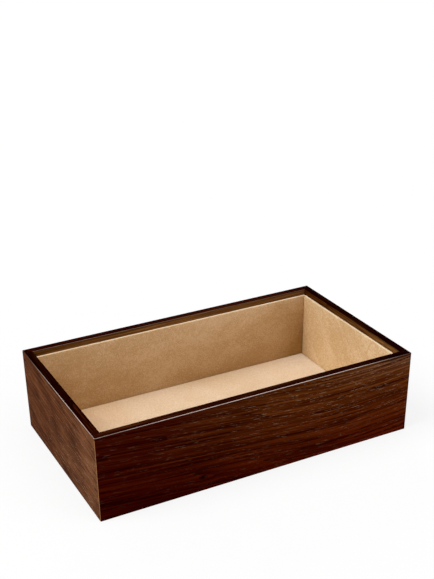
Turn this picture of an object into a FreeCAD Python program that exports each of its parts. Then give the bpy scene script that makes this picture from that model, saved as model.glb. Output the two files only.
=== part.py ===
import FreeCAD, Part
import math
import os

import Sketcher
from FreeCAD import Placement, Rotation, Vector

# Jewelry tray: an open box of four mitred walls round a housed base panel.
# Each wall is a fibreboard core with veneer on both faces and a solid strip
# over its top edge. Five suede covered boards line the walls and the floor.
# The frame: X along the length, Y across with the front at -Y, Z up. The
# origin is the middle of the footprint, on the surface that the tray stands on.

# Driving dimensions, in millimetres
SIZES = {
    "tray_length": 300.0,
    "tray_width": 172.0,
    "tray_height": 78.0,
    # Walls
    "wall_thickness": 7.5,
    "veneer_thickness": 0.6,
    "corner_round": 0.75,
    "foot_round": 0.35,
    # Strip over the top edge of each wall
    "rim_height": 2.0,
    "rim_outer_round": 0.6,
    "rim_inner_round": 0.4,
    # Base panel, housed in a groove round the walls
    "panel_rise": 3.0,
    "panel_thickness": 3.0,
    "groove_depth": 3.0,
    "groove_play": 0.1,
    # Loose tongue along each mitre
    "tongue_width": 5.0,
    "tongue_thickness": 1.5,
    "tongue_setback": 2.9,
    "tongue_bottom": 10.0,
    "tongue_play": 0.1,
    # Felt under the base panel
    "felt_thickness": 1.0,
    "felt_margin": 0.3,
    # Suede covered boards
    "liner_drop": 5.5,
    "liner_board_thickness": 1.0,
    "floor_board_thickness": 1.3,
    "suede_thickness": 0.5,
    "suede_turn_round": 0.8,
    "flap_width": 12.0,
    "liner_end_gap": 0.1,
    "floor_gap": 0.3,
}

# Each side: turn about Z, size it runs along, size it stands across, outward direction
SIDES = {
    "front": (0.0, "sizes.tray_length", "sizes.tray_width", (0, -1)),
    "right": (90.0, "sizes.tray_width", "sizes.tray_length", (1, 0)),
    "rear": (180.0, "sizes.tray_length", "sizes.tray_width", (0, 1)),
    "left": (270.0, "sizes.tray_width", "sizes.tray_length", (-1, 0)),
}

# Each corner: which way it lies from the middle
CORNERS = {
    "front_right": (1, -1),
    "rear_right": (1, 1),
    "rear_left": (-1, 1),
    "front_left": (-1, -1),
}

UP = Vector(0, 0, 1)
MITRE_ANGLE = 45.0
ARRIS_SHARE_OF_CORNER = 0.9
HAIR = 1e-4

# Levels and thicknesses that several pieces share
CORE_TOP = "(sizes.tray_height - sizes.rim_height)"
PANEL_TOP = "(sizes.panel_rise + sizes.panel_thickness)"
LINER_THICKNESS = "(sizes.liner_board_thickness + 2 * sizes.suede_thickness)"
LINER_HEIGHT = f"(sizes.tray_height - sizes.liner_drop - {PANEL_TOP})"
FLAP_REACH = "(sizes.suede_thickness + sizes.flap_width)"
TONGUE_INSET = "(sizes.wall_thickness - sizes.tongue_setback)"


def new_document():
    """The document with its sheet of sizes: a name, a number and an alias in each row."""
    document = FreeCAD.newDocument("jewelry_tray")
    table = document.addObject("Spreadsheet::Sheet", "sizes")
    for row, (name, size) in enumerate(SIZES.items(), start=1):
        table.set(f"A{row}", name)
        table.set(f"B{row}", str(size))
        table.setAlias(f"B{row}", name)
    document.recompute()
    return document, table


doc, sheet = new_document()


def number(expression):
    """What an expression comes to with the sizes in the sheet."""
    return float(sheet.evalExpression(expression))


def new_body(label, rotation=Rotation(), base=("0", "0", "0")):
    """An empty body, turned by rotation and moved to base, whose parts are expressions."""
    body = doc.addObject("PartDesign::Body", label)
    body.Label = label
    body.AllowCompound = True
    body.Placement = Placement(Vector(), rotation)
    for axis, expression in zip("xyz", base):
        body.setExpression(f"Placement.Base.{axis}", expression)
    return body


def new_sketch(body, name, role="XY_Plane", centre=("0", "0", "0"), turn=0.0):
    """A sketch on one of the body's own planes, shifted by expressions and turned."""
    plane = next(feature for feature in body.Origin.OriginFeatures if feature.Role == role)
    sketch = body.newObject("Sketcher::SketchObject", name)
    sketch.AttachmentSupport = [(plane, "")]
    sketch.MapMode = "FlatFace"
    sketch.AttachmentOffset = Placement(Vector(), Rotation(UP, turn))
    for axis, expression in zip("xyz", centre):
        sketch.setExpression(f"AttachmentOffset.Base.{axis}", expression)
    return sketch


def bind(sketch, kind, *where, name, expression):
    """A dimension of the sketch that follows an expression."""
    index = sketch.addConstraint(Sketcher.Constraint(kind, *where, number(expression)))
    sketch.renameConstraint(index, name)
    sketch.setExpression(f"Constraints.{name}", expression)


def closed_lines(sketch, points):
    """Straight lines through the points and back to the first, joined end to end."""
    count = len(points)
    for index, point in enumerate(points):
        sketch.addGeometry(Part.LineSegment(point, points[(index + 1) % count]), False)
    for index in range(count):
        following = (index + 1) % count
        sketch.addConstraint(Sketcher.Constraint("Coincident", index, 2, following, 1))


def rectangle(sketch, length, width):
    """A rectangle about the sketch's origin."""
    x = number(length) / 2
    y = number(width) / 2
    closed_lines(sketch, [Vector(-x, -y), Vector(x, -y), Vector(x, y), Vector(-x, y)])
    for line in (0, 2):
        sketch.addConstraint(Sketcher.Constraint("Horizontal", line))
    for line in (1, 3):
        sketch.addConstraint(Sketcher.Constraint("Vertical", line))
    sketch.addConstraint(Sketcher.Constraint("Symmetric", 0, 1, 2, 1, -1, 1))
    bind(sketch, "DistanceX", 0, 1, 0, 2, name="length", expression=length)
    bind(sketch, "DistanceY", 1, 1, 1, 2, name="width", expression=width)


def mitred_plan(sketch, side, outer_inset, inner_inset):
    """The plan of one layer of a wall, cut at 45 degrees at both ends.

    The insets are measured from the outside of the tray to the two faces of the layer.
    """
    _, along, across, _ = SIDES[side]
    outer_length = f"{along} - 2 * {outer_inset}"
    inner_length = f"{along} - 2 * {inner_inset}"
    outer_offset = f"{across} / 2 - {outer_inset}"
    inner_offset = f"{across} / 2 - {inner_inset}"
    outer_x = number(outer_length) / 2
    inner_x = number(inner_length) / 2
    outer_y = -number(outer_offset)
    inner_y = -number(inner_offset)
    points = [
        Vector(-outer_x, outer_y),
        Vector(outer_x, outer_y),
        Vector(inner_x, inner_y),
        Vector(-inner_x, inner_y),
    ]
    closed_lines(sketch, points)
    for line in (0, 2):
        sketch.addConstraint(Sketcher.Constraint("Symmetric", line, 1, line, 2, -2))
    bind(sketch, "DistanceX", 0, 1, 0, 2, name="outer_length", expression=outer_length)
    bind(sketch, "DistanceX", 2, 2, 2, 1, name="inner_length", expression=inner_length)
    bind(sketch, "DistanceY", 0, 1, -1, 1, name="outer_offset", expression=outer_offset)
    bind(sketch, "DistanceY", 2, 1, -1, 1, name="inner_offset", expression=inner_offset)


def corner_arc(centre, start, end):
    """The arc about a centre that runs anticlockwise from one point to another."""
    circle = Part.Circle(centre, UP, centre.distanceToPoint(start))
    return Part.ArcOfCircle(circle, circle.parameter(start), circle.parameter(end))


def rounded_plan(sketch, side, inner_inset):
    """The plan of a layer at the outside of a wall, mitred, with rounded tray corners.

    Each end has half of the corner's arc, which meets the mitre square on, so that the
    next wall carries the arc on.
    """
    _, along, across, _ = SIDES[side]
    straight = f"{along} - 2 * sizes.corner_round"
    inner_length = f"{along} - 2 * {inner_inset}"
    outer_offset = f"{across} / 2"
    inner_offset = f"{across} / 2 - {inner_inset}"
    radius = number("sizes.corner_round")
    centre_x = number(straight) / 2
    inner_x = number(inner_length) / 2
    outer_y = -number(outer_offset)
    inner_y = -number(inner_offset)
    centre_y = outer_y + radius
    reach = radius * 0.5**0.5
    right_start = Vector(centre_x, outer_y)
    left_start = Vector(-centre_x, outer_y)
    right_end = Vector(centre_x + reach, centre_y - reach)
    left_end = Vector(-centre_x - reach, centre_y - reach)
    right_inner = Vector(inner_x, inner_y)
    left_inner = Vector(-inner_x, inner_y)
    outer, right_arc, right_mitre, inner, left_mitre, left_arc = range(6)
    sketch.addGeometry(Part.LineSegment(left_start, right_start), False)
    sketch.addGeometry(corner_arc(Vector(centre_x, centre_y), right_start, right_end), False)
    sketch.addGeometry(Part.LineSegment(right_end, right_inner), False)
    sketch.addGeometry(Part.LineSegment(right_inner, left_inner), False)
    sketch.addGeometry(Part.LineSegment(left_inner, left_end), False)
    sketch.addGeometry(corner_arc(Vector(-centre_x, centre_y), left_end, left_start), False)
    joints = [
        ("Tangent", outer, 2, right_arc, 1),
        ("Coincident", right_arc, 2, right_mitre, 1),
        ("Angle", right_mitre, math.radians(180 - MITRE_ANGLE)),
        ("Coincident", right_mitre, 2, inner, 1),
        ("Coincident", inner, 2, left_mitre, 1),
        ("Angle", left_mitre, math.radians(180 + MITRE_ANGLE)),
        ("Coincident", left_mitre, 2, left_arc, 1),
        ("Tangent", left_arc, 2, outer, 1),
        ("Symmetric", outer, 1, outer, 2, -2),
        ("Symmetric", inner, 1, inner, 2, -2),
        ("Equal", right_arc, left_arc),
    ]
    for joint in joints:
        sketch.addConstraint(Sketcher.Constraint(*joint))
    bind(sketch, "Radius", right_arc, name="corner_round", expression="sizes.corner_round")
    bind(sketch, "DistanceX", outer, 1, outer, 2, name="straight", expression=straight)
    bind(sketch, "DistanceX", inner, 2, inner, 1, name="inner_length", expression=inner_length)
    bind(sketch, "DistanceY", outer, 1, -1, 1, name="outer_offset", expression=outer_offset)
    bind(sketch, "DistanceY", inner, 1, -1, 1, name="inner_offset", expression=inner_offset)


def pad(body, sketch, name, length):
    """The sketch raised along its normal by a length that is an expression."""
    feature = body.newObject("PartDesign::Pad", name)
    feature.Profile = sketch
    feature.setExpression("Length", length)
    sketch.Visibility = False
    doc.recompute()
    return feature


def pocket(body, sketch, name, length=None):
    """A cut downwards by a length that is an expression, or right through both ways."""
    before = body.Shape.Volume
    feature = body.newObject("PartDesign::Pocket", name)
    feature.Profile = sketch
    if length is None:
        feature.SideType = "Symmetric"
        feature.Type = "ThroughAll"
    else:
        feature.setExpression("Length", length)
    sketch.Visibility = False
    doc.recompute()
    if body.Shape.Volume > before - HAIR:
        raise RuntimeError(f"{name} of {body.Label} cuts nothing")
    return feature


def round_edges(body, name, radius, chosen):
    """A fillet, whose radius is an expression, on the edges that the test picks."""
    base = body.Tip
    names = [f"Edge{i}" for i, edge in enumerate(base.Shape.Edges, start=1) if chosen(edge)]
    feature = body.newObject("PartDesign::Fillet", name)
    feature.Base = (base, names)
    feature.setExpression("Radius", radius)
    doc.recompute()
    return feature


def at_height(edge, height):
    """Whether the whole edge lies at one height."""
    box = edge.BoundBox
    return abs(box.ZMin - height) < HAIR and abs(box.ZMax - height) < HAIR


def on_face(edge, offset, height):
    """Whether the edge lies at one height with its outermost point at this offset in Y."""
    return at_height(edge, height) and abs(edge.BoundBox.YMin - offset) < HAIR


def housing_groove(body, side):
    """The groove for the base panel, run the whole length of the wall from its inside."""
    _, _, across, _ = SIDES[side]
    depth = "(sizes.groove_depth + sizes.veneer_thickness)"
    inset = "(sizes.wall_thickness + (sizes.veneer_thickness - sizes.groove_depth) / 2)"
    centre = (f"{inset} - {across} / 2", "sizes.panel_rise + sizes.panel_thickness / 2", "0")
    sketch = new_sketch(body, f"{body.Label}_groove_profile", "YZ_Plane", centre)
    rectangle(sketch, depth, "sizes.panel_thickness + 2 * sizes.groove_play")
    pocket(body, sketch, f"{body.Label}_groove")


def tongue_slots(body, side):
    """The slot for the loose tongue in each mitred end, open at the top of the core."""
    _, along, across, _ = SIDES[side]
    for end, sign in (("right", 1), ("left", -1)):
        centre = (
            f"{sign} * ({along} / 2 - {TONGUE_INSET})",
            f"{TONGUE_INSET} - {across} / 2",
            CORE_TOP,
        )
        name = f"{body.Label}_{end}_slot"
        sketch = new_sketch(body, f"{name}_plan", centre=centre, turn=MITRE_ANGLE * sign)
        rectangle(
            sketch,
            "sizes.tongue_width + 2 * sizes.tongue_play",
            "sizes.tongue_thickness + 2 * sizes.tongue_play",
        )
        depth = f"{CORE_TOP} - sizes.tongue_bottom + sizes.tongue_play"
        pocket(body, sketch, name, depth)


def wall_core(side):
    """The fibreboard middle of one wall, grooved for the panel and slotted for the tongues."""
    body = new_body(f"{side}_core", Rotation(UP, SIDES[side][0]))
    sketch = new_sketch(body, f"{side}_core_plan")
    inner_inset = "(sizes.wall_thickness - sizes.veneer_thickness)"
    mitred_plan(sketch, side, "sizes.veneer_thickness", inner_inset)
    pad(body, sketch, f"{side}_core_board", CORE_TOP)
    housing_groove(body, side)
    tongue_slots(body, side)


def outer_veneer(side):
    """The show veneer of one wall, with its bottom edge eased."""
    body = new_body(f"{side}_outer_veneer", Rotation(UP, SIDES[side][0]))
    sketch = new_sketch(body, f"{side}_outer_veneer_plan")
    rounded_plan(sketch, side, "sizes.veneer_thickness")
    pad(body, sketch, f"{side}_outer_veneer_sheet", CORE_TOP)
    back = -number(f"{SIDES[side][2]} / 2 - sizes.veneer_thickness")

    def is_foot_edge(edge):
        return at_height(edge, 0) and edge.BoundBox.YMax < back - HAIR

    round_edges(body, f"{side}_foot_edge", "sizes.foot_round", is_foot_edge)


def inner_veneer(side):
    """The veneer inside one wall: a sheet above the groove and a strip below it."""
    body = new_body(f"{side}_inner_veneer", Rotation(UP, SIDES[side][0]))
    sketch = new_sketch(body, f"{side}_inner_veneer_plan")
    outer_inset = "(sizes.wall_thickness - sizes.veneer_thickness)"
    mitred_plan(sketch, side, outer_inset, "sizes.wall_thickness")
    pad(body, sketch, f"{side}_inner_veneer_sheet", CORE_TOP)
    housing_groove(body, side)


def rim_strip(side):
    """The solid strip over the top edges of core and veneers, with both arrises eased."""
    body = new_body(f"{side}_rim_strip", Rotation(UP, SIDES[side][0]))
    sketch = new_sketch(body, f"{side}_rim_plan", centre=("0", "0", CORE_TOP))
    rounded_plan(sketch, side, "sizes.wall_thickness")
    pad(body, sketch, f"{side}_rim_bar", "sizes.rim_height")
    top = number("sizes.tray_height")
    _, _, across, _ = SIDES[side]
    arc_limit = -number(f"{across} / 2 - sizes.corner_round")
    inner_y = -number(f"{across} / 2 - sizes.wall_thickness")

    def is_outer_arris(edge):
        return at_height(edge, top) and edge.BoundBox.YMax < arc_limit - HAIR

    def is_inner_arris(edge):
        return on_face(edge, inner_y, top)

    outer_round = f"min(sizes.rim_outer_round; {ARRIS_SHARE_OF_CORNER} * sizes.corner_round)"
    round_edges(body, f"{side}_outer_arris", outer_round, is_outer_arris)
    round_edges(body, f"{side}_inner_arris", "sizes.rim_inner_round", is_inner_arris)


def corner_tongue(corner):
    """The loose tongue glued into both walls of a corner."""
    toward_x, toward_y = CORNERS[corner]
    turn = -MITRE_ANGLE * toward_x * toward_y
    base = (
        f"{toward_x} * (sizes.tray_length / 2 - {TONGUE_INSET})",
        f"{toward_y} * (sizes.tray_width / 2 - {TONGUE_INSET})",
        "sizes.tongue_bottom",
    )
    body = new_body(f"{corner}_tongue", Rotation(UP, turn), base)
    sketch = new_sketch(body, f"{corner}_tongue_plan")
    rectangle(sketch, "sizes.tongue_width", "sizes.tongue_thickness")
    length = f"{CORE_TOP} - sizes.tongue_play - sizes.tongue_bottom"
    pad(body, sketch, f"{corner}_tongue_bar", length)


def flat_sheet(label, length, width, bottom, thickness):
    """A plain rectangular sheet that lies level, centred on the tray."""
    body = new_body(label, base=("0", "0", bottom))
    sketch = new_sketch(body, f"{label}_plan")
    rectangle(sketch, length, width)
    pad(body, sketch, f"{label}_sheet", thickness)


def base_panel():
    """The base, reaching into the groove on all four sides."""
    inset = "2 * (sizes.wall_thickness - sizes.groove_depth + sizes.groove_play)"
    flat_sheet(
        "base_panel",
        f"sizes.tray_length - {inset}",
        f"sizes.tray_width - {inset}",
        "sizes.panel_rise",
        "sizes.panel_thickness",
    )


def underside_felt():
    """The felt glued under the base panel, between the feet of the walls."""
    inset = "2 * (sizes.wall_thickness + sizes.felt_margin)"
    flat_sheet(
        "underside_felt",
        f"sizes.tray_length - {inset}",
        f"sizes.tray_width - {inset}",
        "sizes.panel_rise - sizes.felt_thickness",
        "sizes.felt_thickness",
    )


def liner_board(label, length, width, thickness, rotation, base):
    """The stiff board inside a lining pad, drawn lying on its back."""
    body = new_body(label, rotation, base)
    sketch = new_sketch(body, f"{label}_plan", centre=("0", "0", "sizes.suede_thickness"))
    edges = "2 * sizes.suede_thickness"
    rectangle(sketch, f"{length} - {edges}", f"{width} - {edges}")
    pad(body, sketch, f"{label}_sheet", thickness)


def suede_cover(label, length, width, thickness, rotation, base):
    """The suede round a lining board, drawn lying on its back.

    It covers the face and the four edges and turns in behind the board as a flap all
    round, which leaves a window in the back.
    """
    body = new_body(label, rotation, base)
    total = f"{thickness} + 2 * sizes.suede_thickness"
    outline = new_sketch(body, f"{label}_outline")
    rectangle(outline, length, width)
    pad(body, outline, f"{label}_block", total)
    face = number(total)

    def is_turned_edge(edge):
        upright = edge.BoundBox.ZLength > HAIR
        return upright or at_height(edge, face)

    round_edges(body, f"{label}_turned_edges", "sizes.suede_turn_round", is_turned_edge)
    board = new_sketch(
        body,
        f"{label}_board_plan",
        centre=("0", "0", f"sizes.suede_thickness + {thickness}"),
    )
    edges = "2 * sizes.suede_thickness"
    rectangle(board, f"{length} - {edges}", f"{width} - {edges}")
    pocket(body, board, f"{label}_board_space", thickness)
    window = new_sketch(body, f"{label}_window_plan", centre=("0", "0", "sizes.suede_thickness"))
    rectangle(window, f"{length} - 2 * {FLAP_REACH}", f"{width} - 2 * {FLAP_REACH}")
    pocket(body, window, f"{label}_window", "sizes.suede_thickness")


def lining_pad(name, length, width, board_thickness, rotation, base):
    """A board and its suede cover, as two pieces that share one place."""
    liner_board(f"{name}_board", length, width, board_thickness, rotation, base)
    suede_cover(f"{name}_suede", length, width, board_thickness, rotation, base)


def wall_lining(side):
    """The pad on one wall: it stands on the base panel with its back to the veneer.

    The front and rear pads run the whole inner length, and the other two fit between.
    """
    turn, along, across, outward = SIDES[side]
    length = f"{along} - 2 * sizes.wall_thickness"
    if side in ("right", "left"):
        length = f"{length} - 2 * ({LINER_THICKNESS} + sizes.liner_end_gap)"
    stand_up = Rotation(UP, 180.0) * Rotation(Vector(1, 0, 0), 90.0)
    base = [f"{sign} * ({across} / 2 - sizes.wall_thickness)" for sign in outward]
    base.append(f"{PANEL_TOP} + {LINER_HEIGHT} / 2")
    rotation = Rotation(UP, turn) * stand_up
    board = "sizes.liner_board_thickness"
    lining_pad(f"{side}_liner", length, LINER_HEIGHT, board, rotation, base)


def floor_lining():
    """The pad that drops in between the wall pads and lies on the base panel."""
    inset = f"2 * (sizes.wall_thickness + {LINER_THICKNESS} + sizes.floor_gap)"
    lining_pad(
        "floor",
        f"sizes.tray_length - {inset}",
        f"sizes.tray_width - {inset}",
        "sizes.floor_board_thickness",
        Rotation(),
        ("0", "0", PANEL_TOP),
    )


def check_and_write():
    """Stops if anything failed to build, and otherwise writes one file for each piece."""
    doc.recompute()
    for item in doc.Objects:
        if {"Invalid", "Error"} & set(item.State):
            raise RuntimeError(f"{item.Label} did not build: {item.State}")
    bodies = [item for item in doc.Objects if item.TypeId == "PartDesign::Body"]
    for body in bodies:
        if body.Shape.isNull() or not body.Shape.isValid():
            raise RuntimeError(f"{body.Label} has no valid shape")
    os.makedirs("parts", exist_ok=True)
    for body in bodies:
        body.Shape.exportStep(f"parts/{body.Label}.step")
        print(f"{body.Label}: {len(body.Shape.Solids)} solid, {body.Shape.Volume:.1f} mm3")
    print(f"{len(bodies)} pieces")


for side_name in SIDES:
    wall_core(side_name)
    outer_veneer(side_name)
    inner_veneer(side_name)
    rim_strip(side_name)
    wall_lining(side_name)
for corner_name in CORNERS:
    corner_tongue(corner_name)
base_panel()
underside_felt()
floor_lining()
check_and_write()
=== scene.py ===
import math

import bmesh
import bpy
from mathutils import Euler, Matrix, Vector, noise


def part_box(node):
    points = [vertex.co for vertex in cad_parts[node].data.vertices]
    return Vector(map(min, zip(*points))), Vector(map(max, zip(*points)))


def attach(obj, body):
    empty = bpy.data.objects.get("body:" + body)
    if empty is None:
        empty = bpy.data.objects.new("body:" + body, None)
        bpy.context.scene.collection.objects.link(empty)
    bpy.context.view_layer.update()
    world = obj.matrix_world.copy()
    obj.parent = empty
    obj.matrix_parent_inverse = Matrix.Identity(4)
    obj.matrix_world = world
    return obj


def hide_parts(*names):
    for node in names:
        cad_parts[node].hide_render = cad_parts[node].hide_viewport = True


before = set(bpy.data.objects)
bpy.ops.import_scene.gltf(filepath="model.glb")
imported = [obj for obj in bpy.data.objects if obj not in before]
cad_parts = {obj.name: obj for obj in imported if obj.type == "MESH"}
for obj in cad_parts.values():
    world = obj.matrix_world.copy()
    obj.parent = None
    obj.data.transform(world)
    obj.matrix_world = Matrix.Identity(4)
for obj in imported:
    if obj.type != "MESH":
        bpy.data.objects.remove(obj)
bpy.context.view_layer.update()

BODY = "root"
MM = 0.001

# The photograph's frame, and the camera that sees the tray as it does
IMAGE_WIDTH = 434
IMAGE_HEIGHT = 579
FOCAL_PIXELS = 1018.8
CENTRE_PIXEL = (211.8, 397.3)
SENSOR = 36.0
CAMERA_PLACE = Vector((-0.3727, -0.7158, 0.4863))
CAMERA_TURN = (60.586, 0.685, -27.625)

# Each wall: the axis that it runs along, and the way from its back to the inside
SIDES = {
    "front": ("x", Vector((0, 1, 0))),
    "right": ("y", Vector((-1, 0, 0))),
    "rear": ("x", Vector((0, -1, 0))),
    "left": ("y", Vector((1, 0, 0))),
}

# The figure of the wood, in cycles a metre along the grain and across it
DRIFT = (3.0, 9.0)
DRIFT_REACH = 12.0 * MM
BROAD_GRAIN = (5.5, 240.0)
FINE_GRAIN = (10.0, 720.0)
RINGS = (2.6, 75.0)
RING_COUNT = 8.0
PORE_PATCHES = (12.0, 45.0)
PORE_ROWS = (7.0, 380.0)
PORE_BEADS = (340.0, 700.0)
LONG_PORES = {"cycles": (55.0, 450.0), "shortest": 0.15, "longest": 0.45, "half_width": 0.08}
FINE_PORES = {"cycles": (90.0, 740.0), "shortest": 0.18, "longest": 0.45, "half_width": 0.1}
GRAIN_LEAN = 0.085
TONE_STOPS = (0.41, 0.512, 0.614)
KNOT = {"along": -0.0573, "height": 0.0135, "length": 0.005, "half_height": 0.0026, "push": 0.0016}
WALL_HEIGHT = 78.0 * MM
STAIN_DEPTH = 1.0 * MM

# Suede pads
SUEDE_THICKNESS = 0.5 * MM
TURN_ROUND = 0.8 * MM
FLAP_WIDTH = 12.0 * MM
PAD_STEP = 6.0 * MM
NAP_SWELL = 0.12 * MM
CORNER_REACH = 45.0 * MM
FINGER_MARK = {"along": -0.0435, "height": 0.0525, "half_width": 0.0095, "rise": 0.019}
FELT_STEP = 8.0 * MM


class Shader:
    """The nodes of one material, added by short calls."""

    def __init__(self, name):
        self.material = bpy.data.materials.new(name)
        self.material.use_nodes = True
        self.tree = self.material.node_tree
        self.tree.nodes.clear()
        self.output = self.tree.nodes.new("ShaderNodeOutputMaterial")
        self.surface = self.tree.nodes.new("ShaderNodeBsdfPrincipled")
        self.tree.links.new(self.surface.outputs[0], self.output.inputs["Surface"])

    def node(self, kind, inputs, **settings):
        made = self.tree.nodes.new(kind)
        for key, value in settings.items():
            setattr(made, key, value)
        for key, value in inputs.items():
            self.feed(made.inputs[key], value)
        return made

    def feed(self, socket, value):
        if isinstance(value, bpy.types.NodeSocket):
            self.tree.links.new(value, socket)
        else:
            socket.default_value = value

    def set(self, **values):
        for key, value in values.items():
            self.feed(self.surface.inputs[key.replace("_", " ")], value)

    def math(self, operation, a, b=0.0, clamp=False):
        return self.node("ShaderNodeMath", {0: a, 1: b}, operation=operation, use_clamp=clamp).outputs[0]

    def add(self, a, b):
        return self.math("ADD", a, b)

    def times(self, a, b):
        return self.math("MULTIPLY", a, b)

    def swing(self, value, weight):
        """A noise of 0..1 as a swing to both sides of nothing."""
        return self.times(self.add(value, -0.5), weight)

    def root_of_squares(self, a, b):
        return self.math("SQRT", self.add(self.math("POWER", a, 2.0), self.math("POWER", b, 2.0)))

    def between(self, value, low, high, to_low=0.0, to_high=1.0, smooth=True):
        """value taken from low..high to to_low..to_high, held at both ends."""
        kind = "SMOOTHSTEP" if smooth else "LINEAR"
        inputs = {0: value, 1: low, 2: high, 3: to_low, 4: to_high}
        return self.node("ShaderNodeMapRange", inputs, interpolation_type=kind).outputs[0]

    def blend(self, a, b, share, kind="MIX"):
        made = self.node("ShaderNodeMix", {0: share, 6: a, 7: b}, data_type="RGBA", blend_type=kind)
        return made.outputs[2]

    def position(self):
        return self.node("ShaderNodeTexCoord", {}).outputs["Object"]

    def vector(self, operation, a, b):
        return self.node("ShaderNodeVectorMath", {0: a, 1: b}, operation=operation).outputs[0]

    def facing(self, normal, direction):
        """1 where a surface faces a direction, -1 where it faces away."""
        inputs = {0: normal, 1: direction}
        return self.node("ShaderNodeVectorMath", inputs, operation="DOT_PRODUCT").outputs["Value"]

    def split(self, vector):
        return self.node("ShaderNodeSeparateXYZ", {0: vector}).outputs

    def join(self, x, y, z):
        return self.node("ShaderNodeCombineXYZ", {0: x, 1: y, 2: z}).outputs[0]

    def noise(self, vector, scale=1.0, detail=2.0, roughness=0.5, distortion=0.0):
        inputs = {
            "Vector": vector,
            "Scale": scale,
            "Detail": detail,
            "Roughness": roughness,
            "Distortion": distortion,
        }
        return self.node("ShaderNodeTexNoise", inputs).outputs[0]

    def ramp(self, value, stops):
        made = self.node("ShaderNodeValToRGB", {0: value})
        line = made.color_ramp
        while len(line.elements) < len(stops):
            line.elements.new(0.5)
        for element, (place, colour) in zip(line.elements, stops):
            element.position = place
            element.color = (*colour, 1.0)
        return made.outputs[0]

    def bump(self, height, distance, strength=1.0):
        return self.node(
            "ShaderNodeBump",
            {"Height": height, "Distance": distance, "Strength": strength},
        ).outputs[0]


def grain_place(shader, axis, figure, leaning=1.0):
    """The place in the wood: how far along the grain, and how far across it.

    Depth counts as across, so that the lines run on over an edge. The grain leans
    against the wall and curls away from one place on, as much as leaning says, and
    it drifts a little.
    """
    x, y, z = shader.split(shader.position())
    along, depth = (x, y) if axis == "x" else (y, x)
    level = shader.add(z, depth)
    past = shader.math("MAXIMUM", shader.add(along, -figure["curl_from"]), 0.0)
    curl = shader.times(shader.math("POWER", past, 2.0), -figure["curl"])
    slope = shader.add(shader.times(along, figure["lean"]), curl)
    across = shader.add(level, shader.times(slope, leaning))
    along = shader.add(along, figure["seed"])
    drift = shader.noise(stretched(shader, along, level, DRIFT), detail=1.0)
    across = shader.add(across, shader.times(shader.add(drift, -0.5), DRIFT_REACH))
    return along, across, drift


def stretched(shader, along, across, cycles):
    """A place in the grain, scaled to cycles a metre along it and across it."""
    return shader.join(shader.times(along, cycles[0]), shader.times(across, cycles[1]), 0.0)


def knot_in_grain(shader, axis, across, knot):
    """How dark a knot is here, and the grain pushed apart round it."""
    x, y, z = shader.split(shader.position())
    forward = shader.times(shader.add(x if axis == "x" else y, -knot["along"]), 1 / knot["length"])
    up = shader.times(shader.add(z, -knot["height"]), 1 / knot["half_height"])
    reach = shader.root_of_squares(forward, up)
    dark = shader.between(reach, 1.2, 0.3)
    push = shader.times(shader.between(reach, 4.0, 0.0), shader.times(up, -knot["push"]))
    return dark, shader.add(across, push)


def pore_layer(shader, along, across, layer, crowd, threshold):
    """Short dashes along the grain, one to a cell, which show where they crowd."""
    place = stretched(shader, along, across, layer["cycles"])
    cells = shader.node("ShaderNodeTexVoronoi", {"Vector": place, "Scale": 1.0}, voronoi_dimensions="2D")
    chance = shader.split(cells.outputs["Color"])[2]
    lengthen = shader.math("FRACT", shader.times(chance, 9.7))
    forward, sideways, _ = shader.split(shader.vector("SUBTRACT", place, cells.outputs["Position"]))
    half_length = shader.between(lengthen, 0.0, 1.0, layer["shortest"], layer["longest"], smooth=False)
    forward = shader.math("DIVIDE", forward, half_length)
    sideways = shader.times(sideways, 1 / layer["half_width"])
    dash = shader.between(shader.root_of_squares(forward, sideways), 1.0, 0.5)
    shown = shader.between(shader.add(chance, crowd), threshold, threshold + 0.3)
    return shader.times(dash, shown)


def along_wall(shader, along, drift, reach):
    """0 where the figure is as at the near end of a wall, 1 where it is as at the far end."""
    here = shader.add(along, shader.times(shader.add(drift, -0.5), 0.3))
    return shader.between(here, reach[0], reach[1])


def wood_colour(shader, tone, toward, toward_foot, look):
    """The stain and painted light: its tones change along the wall and darken at the foot, partly as the
    wood's own tone and partly as painted light and shade.
    """
    near = shader.ramp(tone, list(zip(TONE_STOPS, look["tones"])))
    if "far_tones" not in look:
        return near
    far = shader.ramp(tone, list(zip(TONE_STOPS, look["far_tones"])))
    if "foot" in look:
        near = shader.blend(near, (*look["foot"], 1.0), toward_foot, kind="MULTIPLY")
        far = shader.blend(far, (*look["far_foot"], 1.0), toward_foot, kind="MULTIPLY")
    return shader.blend(near, far, toward)


def painted_arris_highlight(shader, facing, upward, along, figure):
    """How much painted highlight the two rounded arrises of a rim strip get here.

    The outer one gets less towards the far end of the wall, and the inner one gets it at the near end
    alone.
    """
    half = figure["length"] / 2
    top = shader.between(upward, 0.25, 0.5)
    near = shader.between(along, -half, -half + figure["near_fade"], figure["near_highlight"], 1.0)
    far = shader.between(along, half, half - figure["far_fade"], 0.1, 1.0)
    outer = shader.times(shader.between(facing, 0.2, 0.45), shader.times(near, far))
    inner = shader.between(facing, -0.2, -0.45)
    inner = shader.times(inner, shader.between(along, -half + 0.01, half, 1.0, 0.4))
    patchy = shader.noise(shader.join(shader.times(along, 40.0), 0.0, 0.0))
    patchy = shader.between(patchy, 0.3, 0.6, 0.7, 1.0)
    highlighted = shader.add(shader.times(outer, figure["outer_highlight"]), shader.times(inner, figure["inner_highlight"]))
    highlighted = shader.times(highlighted, patchy)
    return shader.times(highlighted, top)


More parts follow.
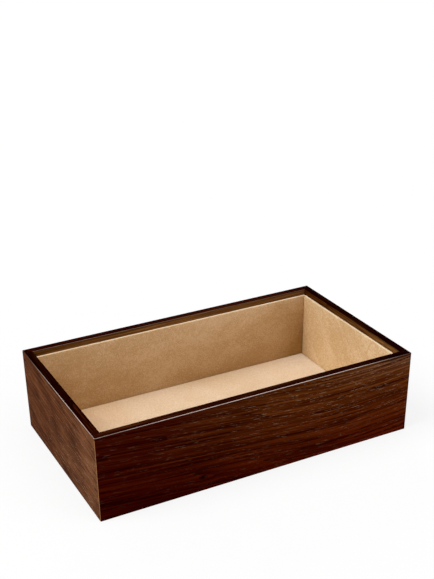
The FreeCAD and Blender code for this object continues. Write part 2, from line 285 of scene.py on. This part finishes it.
def wood(name, axis, figure, look, outward=None):
    """Stained open-pored wood, with the grain along one axis.

    look holds the darkest, middle and lightest tone, the colour of the filled pores and
    how they crowd. For a rim strip, outward is the way to the outside of the tray: its
    two upright faces match the veneers that they stand on, and its arrises get a painted highlight.
    """
    s = Shader(name)
    outer = 1.0
    if outward:
        normal = s.node("ShaderNodeNewGeometry", {}).outputs["Normal"]
        facing = s.facing(normal, outward)
        outer = s.between(facing, 0.85, 0.98)
        inner = s.between(facing, -0.6, -0.95)
    along, across, drift = grain_place(s, axis, figure, outer)
    on_wall = s.add(along, -figure["seed"])
    if "knot" in look:
        knot_dark, across = knot_in_grain(s, axis, across, look["knot"])
    run = s.times(along, figure["shorter"])
    across = s.times(across, figure["finer"])
    broad = s.noise(stretched(s, run, across, BROAD_GRAIN), detail=3.0, roughness=0.6)
    fine = s.noise(stretched(s, run, across, FINE_GRAIN), detail=3.0, roughness=0.7)
    contour = s.noise(stretched(s, run, across, RINGS), detail=1.0)
    ring = s.math("FRACT", s.times(contour, RING_COUNT))
    patches = s.noise(stretched(s, run, across, PORE_PATCHES), detail=1.0)
    tone = s.add(s.swing(broad, look["broad"]), s.swing(fine, look["fine"]))
    tone = s.add(tone, s.add(s.swing(ring, -0.06), s.swing(patches, look["cloud"])))
    tone = s.add(tone, 0.5)
    toward = along_wall(s, on_wall, drift, look["changes"]) if "changes" in look else 0.0
    toward_foot = s.between(s.split(s.position())[2], WALL_HEIGHT, 0.0, smooth=False)
    colour = wood_colour(s, tone, toward, toward_foot, look)
    if outward:
        colour = s.blend(colour, wood_colour(s, tone, toward, toward_foot, look["outer"]), outer)
        colour = s.blend(colour, wood_colour(s, tone, toward, toward_foot, look["inner"]), inner)
    ring_edge = s.between(ring, 0.8, 0.98)
    dark = tuple(channel * 0.4 for channel in look["tones"][0]) + (1.0,)
    colour = s.blend(colour, dark, s.times(ring_edge, 0.4))
    if "knot" in look:
        colour = s.blend(colour, dark, s.times(knot_dark, 0.9))
    rows = s.noise(stretched(s, along, across, PORE_ROWS), detail=2.0)
    crowd = s.add(s.add(s.times(patches, 0.3), s.times(rows, 0.4)), s.times(fine, -0.8))
    more = s.times(toward, look.get("more_pores", 0.0))
    more = s.times(more, s.between(toward_foot, 0.0, 1.0, 1.8, 0.4, smooth=False))
    crowd = s.add(s.add(crowd, more), look["crowding"])
    long_pores = pore_layer(s, along, across, LONG_PORES, crowd, 0.64)
    fine_pores = pore_layer(s, s.add(along, 0.37), across, FINE_PORES, crowd, 0.56)
    pores = s.math("MAXIMUM", long_pores, s.times(fine_pores, 0.7))
    beads = s.noise(stretched(s, along, across, PORE_BEADS), detail=1.0)
    pores = s.times(pores, s.between(beads, 0.42, 0.56, 0.15, 1.0))
    filled = s.times(pores, s.between(toward, 0.0, 1.0, *look["filled"], smooth=False))
    filled = s.times(filled, s.between(toward_foot, 0.0, 1.0, 1.0, look.get("foot_pores", 1.0)))
    colour = s.blend(colour, (*look["pore"], 1.0), filled)
    # Painted sheen: a pale haze on the fine grain at the top of the far end.
    if "far_top_sheen" in look:
        corner = s.times(s.between(on_wall, 0.04, 0.14), s.between(toward_foot, 0.27, 0.02))
        far_top_sheen = s.times(s.times(corner, s.between(fine, 0.4, 0.6)), look["far_top_sheen"])
        colour = s.blend(colour, (*look["pore"], 1.0), far_top_sheen)
    # Painted highlight on a short wall's rounded upright corners, where the face turns to the front or
    # rear.
    if "edge" in look:
        turned = s.math("ABSOLUTE", s.split(s.node("ShaderNodeNewGeometry", {}).outputs["Normal"])[1])
        colour = s.blend(colour, (*look["edge"], 1.0), s.between(turned, 0.05, 0.25, 0.0, 0.8))
    if outward:
        # Painted highlight along the rounded arrises of the rim strip.
        highlighted = painted_arris_highlight(s, facing, s.split(normal)[2], on_wall, figure)
        colour = s.blend(colour, (*look["arris_highlight"], 1.0), highlighted)
    relief = s.add(s.times(pores, -1.0), s.times(fine, 0.5))
    s.set(
        Base_Color=colour,
        Roughness=s.add(s.times(pores, 0.2), look["roughness"]),
        Specular_IOR_Level=look["specular"],
        Specular_Tint=(1.0, 0.45, 0.2, 1.0),
        Normal=s.bump(relief, 0.06 * MM, 0.6),
    )
    return s.material


def painted_pad_shade(shader, colour, node, axis):
    """The colour of a wall pad with painted shade: darker and richer towards its foot and its corners,
    where shade falls.

    The pads of the short walls have painted shade towards the rear and stay lighter at the front, where
    more light falls.
    """
    low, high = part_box(node)
    x, y, z = shader.split(shader.position())
    foot = shader.between(z, high.z, low.z)
    if axis == "x":
        nearer = shader.math("MINIMUM", shader.add(x, -low.x), shader.add(shader.times(x, -1.0), high.x))
        corner = shader.between(nearer, CORNER_REACH, 0.0)
        depth = shader.times(corner, shader.add(shader.times(foot, 0.4), 0.22))
        depth = shader.add(depth, shader.times(foot, 0.56))
    else:
        corner = shader.between(y, high.y - CORNER_REACH, high.y)
        rear_shade = shader.between(y, low.y, low.y + 2 * CORNER_REACH)
        depth = shader.times(shader.add(foot, corner), 0.12)
        depth = shader.add(depth, shader.times(rear_shade, 0.24))
    # Painted shade: the pad darkens towards its foot and corners, and on the short walls towards the rear.
    return shader.blend(colour, (0.52, 0.41, 0.21, 1.0), depth, kind="MULTIPLY")


def painted_light_floor_ends(shader, colour):
    """The floor's colour, painted lighter at its left end against the shade of the left wall, and paler at
    its right one.
    """
    x = shader.split(shader.position())[0]
    left = shader.between(x, -0.04, -0.10)
    right = shader.between(x, 0.10, 0.135)
    colour = shader.blend(colour, (1.13, 1.09, 1.05, 1.0), left, kind="MULTIPLY")
    return shader.blend(colour, (1.0, 1.06, 1.14, 1.0), right, kind="MULTIPLY")


def finger_mark(shader, mark):
    """An arch that a finger has left in the nap of a short wall's pad."""
    x, y, z = shader.split(shader.position())
    forward = shader.times(shader.add(y, -mark["along"]), 1 / mark["half_width"])
    up = shader.times(shader.add(z, -mark["height"]), 1 / mark["rise"])
    off = shader.math("ABSOLUTE", shader.add(shader.root_of_squares(forward, up), -1.0))
    return shader.times(shader.between(off, 0.13, 0.0), shader.between(up, 0.0, 0.4))


def suede(name, tones, seed, evenness, fold_highlight=None, pad=None, axis="x", mark=None):
    """Short-napped microsuede: a fine speckle, brushed patches, a few strokes and a light sheen.

    The first colour after evenness is a painted highlight along the top edge, where it faces up to the
    light, and pad is the node of a wall pad, which gets painted shade at its foot and corners.
    The pads of the short walls are brushed aslant, and mark is an arch in the nap of one of them.
    """
    s = Shader(name)
    place = s.vector("ADD", s.position(), (seed, seed, seed))
    brushed = s.vector("MULTIPLY", place, (0.6, 0.6, 1.4))
    if axis == "y":
        x, y, z = s.split(place)
        brushed = s.join(x, s.times(s.add(y, z), 0.45), s.times(s.add(y, s.times(z, -1.0)), 1.2))
    patches = s.noise(brushed, scale=26.0, detail=3.0, roughness=0.6, distortion=0.4)
    speckle = s.noise(place, scale=1100.0, detail=2.0, roughness=0.7)
    fibre = s.noise(place, scale=450.0, detail=3.0, roughness=0.6)
    tone = s.add(s.times(patches, 0.3), s.add(s.times(speckle, 0.52), s.times(fibre, 0.18)))
    colour = s.ramp(tone, [(0.5 - evenness, tones[0]), (0.5, tones[1]), (0.5 + evenness, tones[2])])
    sweep = s.math("FRACT", s.times(s.noise(place, scale=10.0, detail=0.0, distortion=1.0), 7.0))
    stroke = s.between(s.math("ABSOLUTE", s.add(sweep, -0.5)), 0.05, 0.0)
    stroke = s.times(stroke, s.between(patches, 0.5, 0.62, 0.0, 0.3))
    colour = s.blend(colour, (*tones[0], 1.0), stroke)
    if mark:
        colour = s.blend(colour, (*tones[0], 1.0), s.times(finger_mark(s, mark), 0.7))
    # Wall pads get painted shade, and the floor pad painted light at its left end.
    if pad:
        colour = painted_pad_shade(s, colour, pad, axis)
    else:
        colour = painted_light_floor_ends(s, colour)
    # Painted highlight along the up-facing top edge of a wall pad.
    if fold_highlight:
        upward = s.split(s.node("ShaderNodeNewGeometry", {}).outputs["Normal"])[2]
        colour = s.blend(colour, (*fold_highlight, 1.0), s.between(upward, 0.85, 0.98))
    height = s.add(speckle, fibre)
    s.set(
        Base_Color=colour,
        Roughness=0.95,
        Specular_IOR_Level=0.15,
        Sheen_Weight=0.15,
        Sheen_Roughness=0.5,
        Normal=s.bump(height, 0.12 * MM, 0.6),
    )
    return s.material


def plain_board(name, tones, scale, seed, stained_foot=False):
    """Pressed fibre or card: a fine even fleck, with no grain. A foot may be stained dark."""
    s = Shader(name)
    place = s.vector("ADD", s.position(), (seed, seed, seed))
    fleck = s.noise(place, scale=scale, detail=5.0, roughness=0.7)
    colour = s.ramp(fleck, [(0.35, tones[0]), (0.5, tones[1]), (0.65, tones[2])])
    if stained_foot:
        stain = s.between(s.split(s.position())[2], STAIN_DEPTH, 0.0)
        colour = s.blend(colour, (0.17, 0.08, 0.05, 1.0), stain, kind="MULTIPLY")
    s.set(
        Base_Color=colour,
        Roughness=0.85,
        Specular_IOR_Level=0.2,
        Normal=s.bump(fleck, 0.08 * MM, 0.5),
    )
    return s.material


def felt_material():
    """Pressed wool felt: tangled fibres, very dull."""
    s = Shader("dark_felt")
    place = s.position()
    tangle = s.noise(place, scale=700.0, detail=6.0, roughness=0.75, distortion=1.5)
    clumps = s.noise(place, scale=60.0, detail=3.0)
    tone = s.add(s.times(tangle, 0.7), s.times(clumps, 0.3))
    colour = s.ramp(
        tone,
        [(0.35, (0.012, 0.007, 0.005)), (0.5, (0.035, 0.022, 0.016)), (0.66, (0.075, 0.05, 0.038))],
    )
    s.set(
        Base_Color=colour,
        Roughness=1.0,
        Specular_IOR_Level=0.1,
        Sheen_Weight=0.4,
        Sheen_Roughness=0.6,
        Normal=s.bump(tangle, 0.25 * MM, 0.8),
    )
    return s.material


def dress(node, material):
    """Puts a finished material on a node that keeps its own shape."""
    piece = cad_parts[node]
    piece.data.materials.clear()
    piece.data.materials.append(material)


def dress_walls():
    """The walls, each with its own run of grain."""
    # The long walls' faces: lighter and more golden towards the far end and darker at the foot, partly the
    # wood's own tone and partly painted light and shade, with a painted sheen at the top of the far end.
    long_look = {
        "tones": ((0.012, 0.0002, 0.0002), (0.033, 0.0018, 0.0004), (0.057, 0.0085, 0.0015)),
        "far_tones": ((0.034, 0.004, 0.0002), (0.094, 0.023, 0.0028), (0.155, 0.049, 0.009)),
        "foot": (1.0, 0.5, 0.14),
        "far_foot": (0.62, 0.16, 0.01),
        "broad": 0.35,
        "fine": 0.58,
        "cloud": 0.1,
        "changes": (-0.11, 0.14),
        "pore": (0.36, 0.24, 0.155),
        "crowding": 0.06,
        "more_pores": 0.24,
        "filled": (0.27, 0.8),
        "foot_pores": 0.38,
        "far_top_sheen": 0.17,
        "roughness": 0.45,
        "specular": 0.002,
    }
    # The short walls' faces: a lighter copy of the wood that stands in for painted sheen from the light on
    # the left; it is darker towards the rear end and the foot, where the painted sheen is weaker.
    sheen_short_look = {
        "tones": ((0.072, 0.023, 0.0083), (0.175, 0.064, 0.025), (0.272, 0.120, 0.053)),
        "far_tones": ((0.037, 0.009, 0.0015), (0.098, 0.027, 0.007), (0.170, 0.060, 0.018)),
        "foot": (0.61, 0.54, 0.48),
        "far_foot": (0.93, 0.90, 0.82),
        "broad": 0.24,
        "fine": 0.46,
        "cloud": 0.26,
        "changes": (-0.08, 0.08),
        "pore": (0.52, 0.36, 0.26),
        "crowding": 0.18,
        "more_pores": -0.08,
        "filled": (0.85, 0.5),
        "roughness": 0.45,
        "specular": 0.002,
        # painted highlight on the rounded upright corners
        "edge": (0.42, 0.20, 0.08),
    }
    # The inner bands above the lining. The long walls' bands carry painted shade: darker at the near end,
    # by the short wall's corner.
    long_band_look = {
        "tones": ((0.055, 0.018, 0.0025), (0.115, 0.046, 0.007), (0.20, 0.09, 0.02)),
        "far_tones": ((0.08, 0.029, 0.006), (0.16, 0.068, 0.017), (0.27, 0.126, 0.04)),
        "changes": (-0.13, -0.06),
        "broad": 0.35,
        "fine": 0.58,
        "cloud": 0.0,
        "pore": (0.36, 0.24, 0.155),
        "crowding": -0.1,
        "filled": (0.3, 0.3),
        "roughness": 0.45,
        "specular": 0.005,
    }
    # The short walls' bands are a lighter, lit copy, with painted shade darker towards the rear corner.
    lit_short_band_look = dict(
        long_band_look,
        tones=((0.10, 0.040, 0.010), (0.20, 0.090, 0.022), (0.32, 0.155, 0.045)),
        far_tones=((0.025, 0.005, 0.0004), (0.060, 0.016, 0.0015), (0.11, 0.034, 0.005)),
        changes=(-0.08, 0.08),
    )
    brown_rim = ((0.010, 0.0008, 0.0002), (0.032, 0.0045, 0.0010), (0.085, 0.024, 0.006))
    dark_rim = ((0.006, 0.0002, 0.0001), (0.019, 0.0011, 0.0003), (0.070, 0.016, 0.003))
    black_rim = ((0.003, 0.0001, 0.0001), (0.008, 0.0005, 0.0002), (0.025, 0.005, 0.001))
    rim_ends = {
        "front": (brown_rim, black_rim),
        "right": (black_rim, black_rim),
        "rear": (dark_rim, dark_rim),
        "left": (dark_rim, black_rim),
    }
    rim_look = {
        "broad": 0.35,
        "fine": 0.58,
        "cloud": 0.0,
        "pore": (0.3, 0.2, 0.13),
        "crowding": -0.25,
        "filled": (0.3, 0.3),
        "roughness": 0.5,
        "specular": 0.0,
        # the colour of the painted arris highlight
        "arris_highlight": (0.55, 0.44, 0.39),
    }
    for number, (side, (axis, facing)) in enumerate(SIDES.items()):
        look = dict(long_look if axis == "x" else sheen_short_look)
        if side == "front":
            look["knot"] = KNOT
        low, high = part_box(f"{side}_rim_strip")
        size = high - low
        lean = GRAIN_LEAN if side in ("front", "right") else -GRAIN_LEAN
        figure = {
            "seed": 0.7 * number,
            "lean": lean,
            "curl_from": 0.04,
            "curl": 0.8,
            "shorter": 1.0 if axis == "x" else 2.4,
            "finer": 1.0 if axis == "x" else 1.3,
            "length": size.x if axis == "x" else size.y,
            # The painted arris highlight is full on the front and left strips, the lit ones, weak on the
            # others, and on the inner arris of the rear strip alone.
            "outer_highlight": 1.0 if side in ("front", "left") else 0.2,
            "inner_highlight": 0.35 if side == "rear" else 0.0,
            "near_highlight": 0.45 if side == "front" else 0.6,
            "near_fade": 0.1 if side == "front" else 0.04,
            "far_fade": 0.12 if side == "left" else 0.07,
        }
        straight = dict(figure, seed=0.7 * number + 3.1, lean=0.0, curl=0.0)
        band = long_band_look if axis == "x" else lit_short_band_look
        near, far = rim_ends[side]
        rim = dict(rim_look, tones=near, far_tones=far, outer=look, inner=band, changes=look["changes"])
        dress(f"{side}_outer_veneer", wood(f"{side}_face", axis, figure, look))
        dress(f"{side}_inner_veneer", wood(f"{side}_band", axis, straight, band))
        dress(f"{side}_rim_strip", wood(f"{side}_rim", axis, figure, rim, outward=-facing))


def dress_hidden():
    """The pieces that the veneer, the suede and the felt cover."""
    core_tones = ((0.20, 0.12, 0.06), (0.30, 0.19, 0.10), (0.40, 0.27, 0.16))
    card_tones = ((0.28, 0.24, 0.18), (0.38, 0.33, 0.25), (0.48, 0.42, 0.33))
    core = plain_board("fibreboard", core_tones, 900.0, 0.0, stained_foot=True)
    card = plain_board("lining_card", card_tones, 500.0, 1.0)
    for side in SIDES:
        dress(f"{side}_core", core)
        dress(f"{side}_liner_board", card)
    dress("floor_board", card)
    plain = {"seed": 5.0, "lean": 0.02, "curl_from": 1.0, "curl": 0.0, "shorter": 1.0, "finer": 1.0}
    beech_look = {
        "tones": ((0.40, 0.24, 0.12), (0.52, 0.34, 0.19), (0.62, 0.43, 0.26)),
        "broad": 0.35,
        "fine": 0.5,
        "cloud": 0.0,
        "pore": (0.3, 0.17, 0.08),
        "crowding": 0.0,
        "filled": (0.7, 0.7),
        "roughness": 0.6,
        "specular": 0.3,
    }
    base_look = {
        "tones": ((0.30, 0.19, 0.10), (0.42, 0.29, 0.17), (0.52, 0.37, 0.23)),
        "broad": 0.35,
        "fine": 0.5,
        "cloud": 0.0,
        "pore": (0.2, 0.12, 0.06),
        "crowding": 0.0,
        "filled": (0.7, 0.7),
        "roughness": 0.6,
        "specular": 0.3,
    }
    beech = wood("beech", "x", plain, beech_look)
    for corner in ("front_right", "rear_right", "rear_left", "front_left"):
        dress(f"{corner}_tongue", beech)
    dress("base_panel", wood("base_board", "x", plain, base_look))


def pad_frame(node, width_axis, facing):
    """The matrix from a pad that lies on its back to the node's place, and its three sizes."""
    low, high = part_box(node)
    size = high - low
    length_axis = width_axis.cross(facing)
    sizes = [abs(axis.dot(size)) for axis in (length_axis, width_axis, facing)]
    back = (low + high) / 2 - facing * sizes[2] / 2
    turn = Matrix((length_axis, width_axis, facing)).transposed().to_4x4()
    return Matrix.Translation(back) @ turn, sizes


def cut_across(bm, direction, length, step):
    """Cuts the whole mesh at even steps along a direction, so that it can bend there."""
    count = round(length / step)
    for index in range(1, count):
        place = direction * (length * (index / count - 0.5))
        everything = bm.verts[:] + bm.edges[:] + bm.faces[:]
        bmesh.ops.bisect_plane(bm, geom=everything, plane_co=place, plane_no=direction)


def suede_wrap(name, node, width_axis, facing, material, seed):
    """Suede over the face and edges of a board and turned in behind it, as one sheet."""
    matrix, (length, width, thickness) = pad_frame(node, width_axis, facing)
    bm = bmesh.new()
    bmesh.ops.create_cube(bm, size=1.0)
    for vertex in bm.verts:
        vertex.co = Vector((vertex.co.x * length, vertex.co.y * width, (vertex.co.z + 0.5) * thickness))
    turned = [edge for edge in bm.edges if any(vertex.co.z > thickness / 2 for vertex in edge.verts)]
    bmesh.ops.bevel(bm, geom=turned, offset=TURN_ROUND, segments=5, profile=0.5, affect="EDGES")
    back = min(bm.faces, key=lambda face: (face.calc_center_median().z, -face.calc_area()))
    bmesh.ops.inset_region(bm, faces=[back], thickness=FLAP_WIDTH, use_even_offset=True)
    bmesh.ops.delete(bm, geom=[back], context="FACES_ONLY")
    cut_across(bm, Vector((1, 0, 0)), length, PAD_STEP)
    cut_across(bm, Vector((0, 1, 0)), width, PAD_STEP)
    for vertex in bm.verts:
        if vertex.co.z > thickness - 0.1 * MM:
            wave = noise.noise(Vector((vertex.co.x * 22 + seed, vertex.co.y * 22, seed)))
            vertex.co.z += NAP_SWELL * (0.5 + wave)
    mesh = bpy.data.meshes.new(name)
    bm.to_mesh(mesh)
    bm.free()
    mesh.transform(matrix)
    mesh.materials.append(material)
    for polygon in mesh.polygons:
        polygon.use_smooth = True
    piece = bpy.data.objects.new(name, mesh)
    bpy.context.scene.collection.objects.link(piece)
    solidify = piece.modifiers.new("thickness", "SOLIDIFY")
    solidify.thickness = SUEDE_THICKNESS
    solidify.offset = -1.0
    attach(piece, BODY)
    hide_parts(node)
    return piece


def lining():
    """The suede of the four wall pads and of the floor pad."""
    up = Vector((0, 0, 1))
    # The same suede in a darker, shaded copy for the long walls' pads and a lighter, lit copy for the
    # short walls' pads.
    shaded_long_tones = ((0.56, 0.345, 0.155), (0.655, 0.438, 0.235), (0.745, 0.535, 0.33))
    lit_short_tones = ((0.735, 0.49, 0.24), (0.83, 0.60, 0.345), (0.92, 0.72, 0.465))
    floor_tones = ((0.655, 0.455, 0.265), (0.72, 0.53, 0.350), (0.785, 0.61, 0.445))
    for number, (side, (axis, facing)) in enumerate(SIDES.items()):
        name = f"{side}_lining"
        pad = f"{side}_liner_suede"
        tones = shaded_long_tones if axis == "x" else lit_short_tones
        mark = FINGER_MARK if side == "right" else None
        # the colour after the evenness is the painted highlight along the pad's top edge
        material = suede(name, tones, 1.7 * number, 0.06, (0.95, 0.74, 0.52), pad, axis, mark)
        suede_wrap(name, pad, up, facing, material, 3.0 * number)
    material = suede("floor_lining", floor_tones, 9.0, 0.085)
    suede_wrap("floor_lining", "floor_suede", Vector((0, 1, 0)), up, material, 15.0)


def felt():
    """The felt under the base: a thin soft sheet with a slightly uneven cut edge."""
    node = "underside_felt"
    low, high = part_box(node)
    length, width, thickness = high - low
    bm = bmesh.new()
    bmesh.ops.create_cube(bm, size=1.0)
    for vertex in bm.verts:
        vertex.co = Vector((vertex.co.x * length, vertex.co.y * width, vertex.co.z * thickness))
    cut_across(bm, Vector((1, 0, 0)), length, FELT_STEP)
    cut_across(bm, Vector((0, 1, 0)), width, FELT_STEP)
    for vertex in bm.verts:
        wave = noise.noise(vertex.co * 60)
        if abs(vertex.co.x) > length / 2 - 0.1 * MM:
            vertex.co.x -= math.copysign(0.15 * MM * (0.5 + wave), vertex.co.x)
        if abs(vertex.co.y) > width / 2 - 0.1 * MM:
            vertex.co.y -= math.copysign(0.15 * MM * (0.5 + wave), vertex.co.y)
        if vertex.co.z < 0:
            vertex.co.z += 0.1 * MM * (0.5 + noise.noise(vertex.co * 35))
    mesh = bpy.data.meshes.new("felt_base")
    bm.to_mesh(mesh)
    bm.free()
    mesh.transform(Matrix.Translation((low + high) / 2))
    mesh.materials.append(felt_material())
    piece = bpy.data.objects.new("felt_base", mesh)
    bpy.context.scene.collection.objects.link(piece)
    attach(piece, BODY)
    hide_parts(node)


def sun_lamp(name, azimuth, elevation, spread, strength):
    """A soft light from far away. Azimuth 0 is the front, and 90 degrees is the right."""
    data = bpy.data.lights.new(name, "SUN")
    data.angle = math.radians(spread)
    data.energy = strength
    lamp = bpy.data.objects.new(name, data)
    bpy.context.scene.collection.objects.link(lamp)
    lamp.rotation_euler = (math.radians(90 - elevation), 0.0, math.radians(azimuth))


def show_white(tree, shader, share):
    """Mixes a share of plain white into a shader, for what the camera and gloss see of it."""
    path = tree.nodes.new("ShaderNodeLightPath")
    seen = path.outputs["Is Camera Ray"]
    for kind in ("Is Glossy Ray", "Is Transmission Ray"):
        either = tree.nodes.new("ShaderNodeMath")
        either.operation = "MAXIMUM"
        tree.links.new(seen, either.inputs[0])
        tree.links.new(path.outputs[kind], either.inputs[1])
        seen = either.outputs[0]
    part = tree.nodes.new("ShaderNodeMath")
    part.operation = "MULTIPLY"
    part.inputs[1].default_value = share
    tree.links.new(seen, part.inputs[0])
    white = tree.nodes.new("ShaderNodeEmission")
    white.inputs["Strength"].default_value = 1.0
    mix = tree.nodes.new("ShaderNodeMixShader")
    tree.links.new(part.outputs[0], mix.inputs[0])
    tree.links.new(shader, mix.inputs[1])
    tree.links.new(white.outputs[0], mix.inputs[2])
    return mix.outputs[0]


def studio():
    """A white floor that keeps a faint shadow, a dim even room and soft lamps."""
    mesh = bpy.data.meshes.new("studio_floor")
    half = 9.0
    corners = [(-half, -half, 0), (half, -half, 0), (half, half, 0), (-half, half, 0)]
    mesh.from_pydata(corners, [], [(0, 1, 2, 3)])
    s = Shader("studio_floor")
    grain = s.noise(s.position(), scale=40.0, detail=2.0)
    s.set(
        Base_Color=s.ramp(grain, [(0.3, (0.88, 0.88, 0.88)), (0.7, (0.90, 0.90, 0.90))]),
        Roughness=0.9,
        Specular_IOR_Level=0.1,
    )
    s.feed(s.output.inputs["Surface"], show_white(s.tree, s.surface.outputs[0], 0.8))
    mesh.materials.append(s.material)
    floor = bpy.data.objects.new("studio_floor", mesh)
    bpy.context.scene.collection.objects.link(floor)
    world = bpy.data.worlds.new("studio")
    bpy.context.scene.world = world
    world.use_nodes = True
    tree = world.node_tree
    background = tree.nodes["Background"]
    background.inputs["Color"].default_value = (0.5, 0.5, 0.5, 1.0)
    background.inputs["Strength"].default_value = 0.4
    output = tree.nodes["World Output"]
    tree.links.new(show_white(tree, background.outputs[0], 1.0), output.inputs["Surface"])
    sun_lamp("left_key", -95.0, 50.0, 36.0, 1.95)
    sun_lamp("right_fill", 45.0, 18.0, 45.0, 0.72)
    sun_lamp("overhead", 0.0, 72.0, 60.0, 1.1)
    sun_lamp("rear_fill", 170.0, 15.0, 40.0, 0.6)


def camera():
    """The camera at the photograph's viewing angle."""
    data = bpy.data.cameras.new("camera")
    data.sensor_fit = "AUTO"
    data.sensor_width = SENSOR
    data.lens = FOCAL_PIXELS * SENSOR / IMAGE_HEIGHT
    data.shift_x = (IMAGE_WIDTH / 2 - CENTRE_PIXEL[0]) / IMAGE_HEIGHT
    data.shift_y = (CENTRE_PIXEL[1] - IMAGE_HEIGHT / 2) / IMAGE_HEIGHT
    eye = bpy.data.objects.new("camera", data)
    bpy.context.scene.collection.objects.link(eye)
    eye.location = CAMERA_PLACE
    eye.rotation_euler = Euler([math.radians(angle) for angle in CAMERA_TURN], "XYZ")
    bpy.context.scene.camera = eye


bpy.context.scene.view_settings.view_transform = "Standard"
camera()
studio()
dress_walls()
dress_hidden()
lining()
felt()
